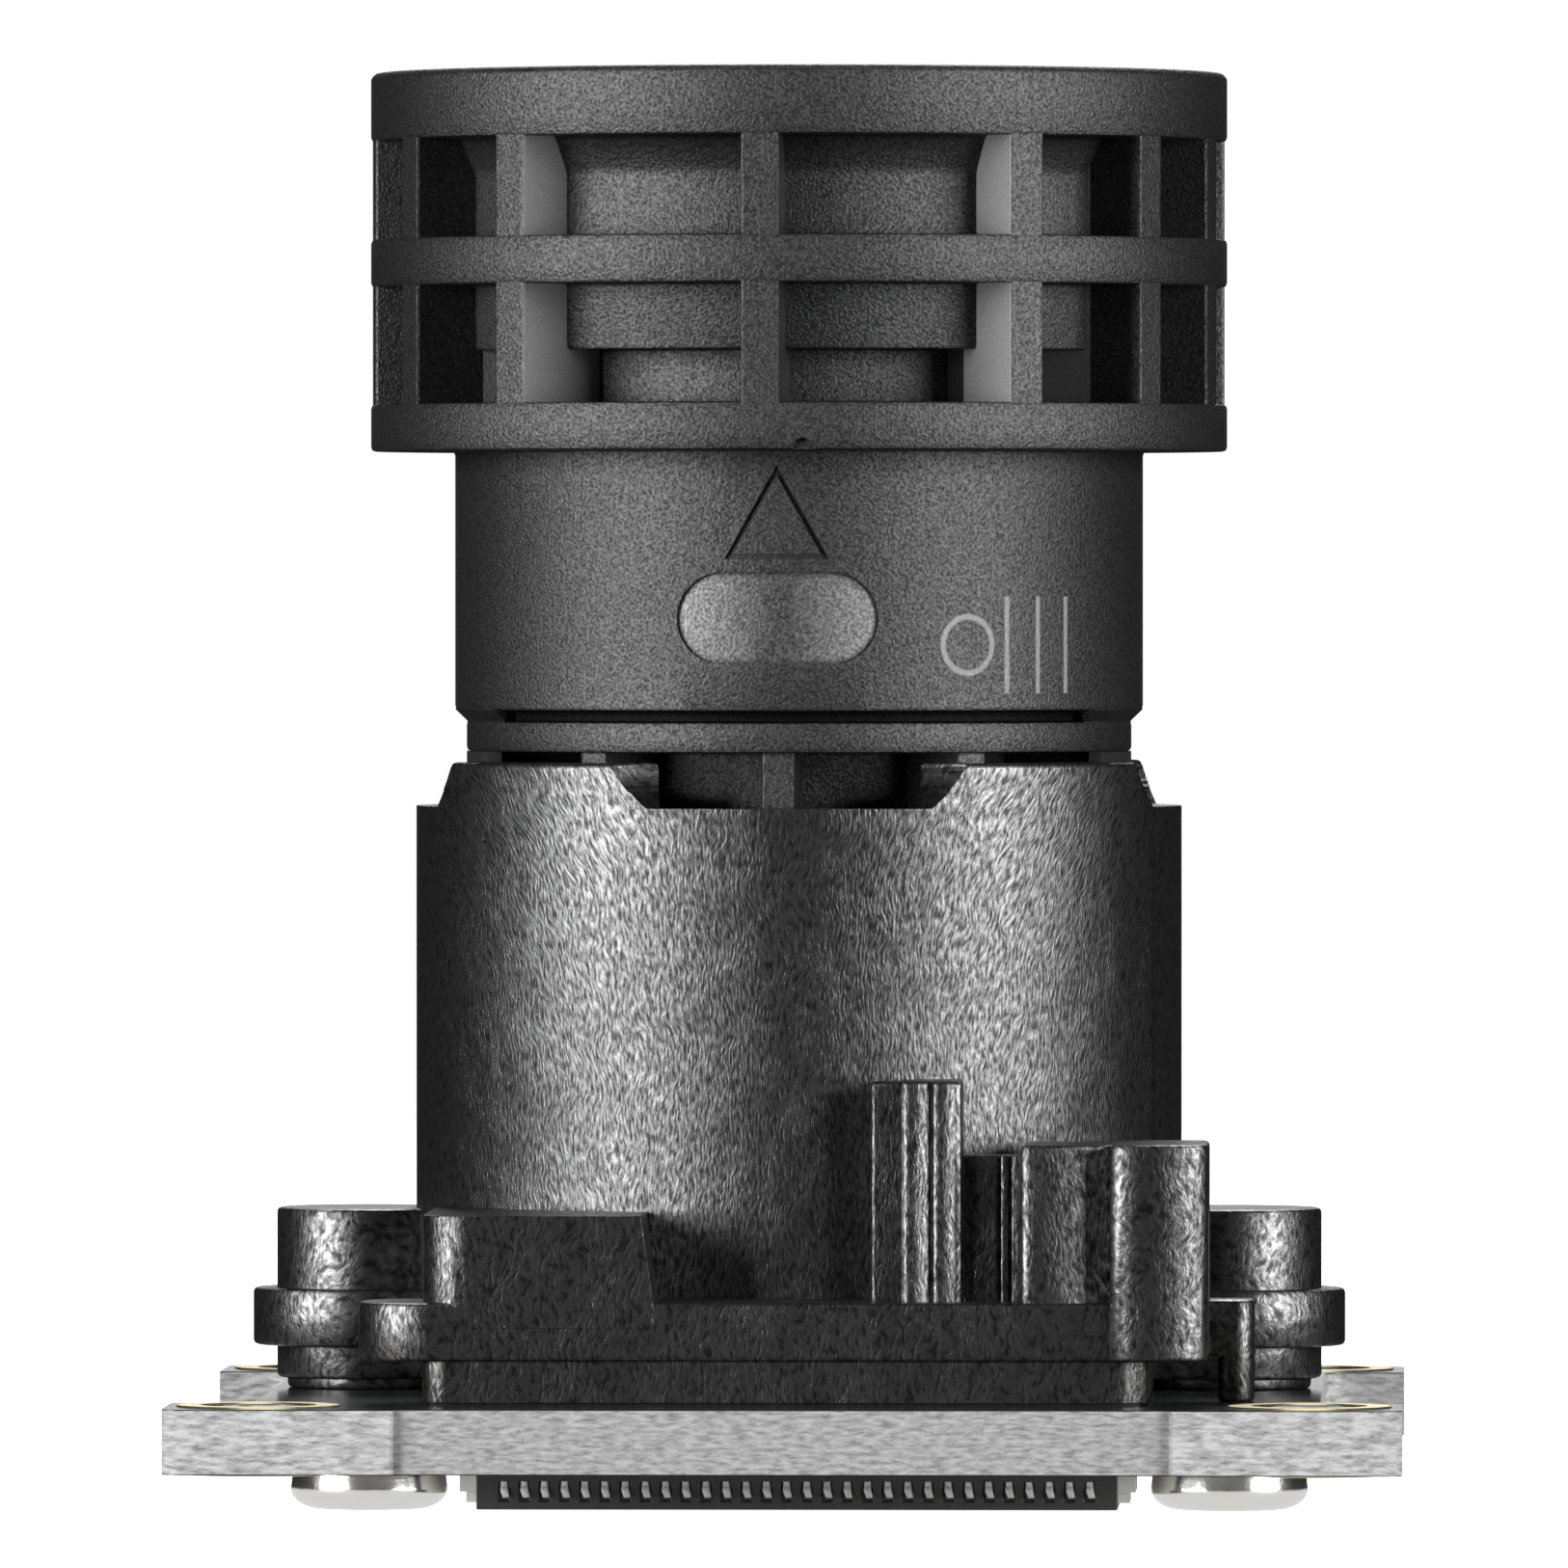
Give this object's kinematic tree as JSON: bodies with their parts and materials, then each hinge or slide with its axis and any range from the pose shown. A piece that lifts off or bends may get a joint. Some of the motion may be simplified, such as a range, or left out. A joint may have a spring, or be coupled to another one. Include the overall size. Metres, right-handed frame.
{
  "type": "camera module",
  "caption": "Miniature board camera: finned plastic lens barrel glued in a screwed lens holder over an image sensor, board-to-board connector below",
  "frame": {"origin": "on the plane that the screw heads stand on, under the middle of the circuit board and the optical axis", "axes": "+Z along the optical axis towards the scene, +X along the connector from the left screw to the right one, -Y the side with the moulded marks"},
  "size_m": [0.024, 0.024, 0.0285],
  "materials": {
    "laminate": "cut glass-epoxy edge, dark solder mask on the faces",
    "connector_plastic": "moulded",
    "contact_metal": "plated",
    "chip_package": "moulded",
    "chip_ceramic": "fired",
    "silicon": "polished",
    "optical_glass": "coated",
    "holder_plastic": "moulded, glass fibre showing",
    "barrel_plastic": "moulded, fine grain",
    "adhesive": "cured",
    "blackened_metal": "black anodised",
    "seal_rubber": "moulded",
    "screw_steel": "polished"
  },
  "bodies": {
    "root": {"circuit_board": "laminate", "connector_body": "connector_plastic", "connector_contacts": "contact_metal", "connector_hold_downs": "contact_metal", "memory_chip": "chip_package", "crystal_oscillator": "chip_ceramic", "voltage_regulator": "chip_package", "chip_capacitors": "chip_ceramic", "chip_resistors": "chip_ceramic", "sensor_package": "chip_ceramic", "sensor_die": "silicon", "sensor_cover_glass": "optical_glass", "lens_holder": "holder_plastic", "holder_adhesive": "adhesive", "infrared_filter": "optical_glass", "lens_barrel": "barrel_plastic", "barrel_adhesive": "adhesive", "aperture_stop": "blackened_metal", "third_lens": "optical_glass", "middle_spacer": "blackened_metal", "second_lens": "optical_glass", "front_seal": "seal_rubber", "front_lens": "optical_glass", "front_retaining_ring": "blackened_metal", "fourth_lens": "optical_glass", "fifth_lens": "optical_glass", "rear_spacer": "blackened_metal", "rear_retaining_ring": "blackened_metal", "left_holder_screw": "screw_steel", "right_holder_screw": "screw_steel"}
  },
  "joints": []
}
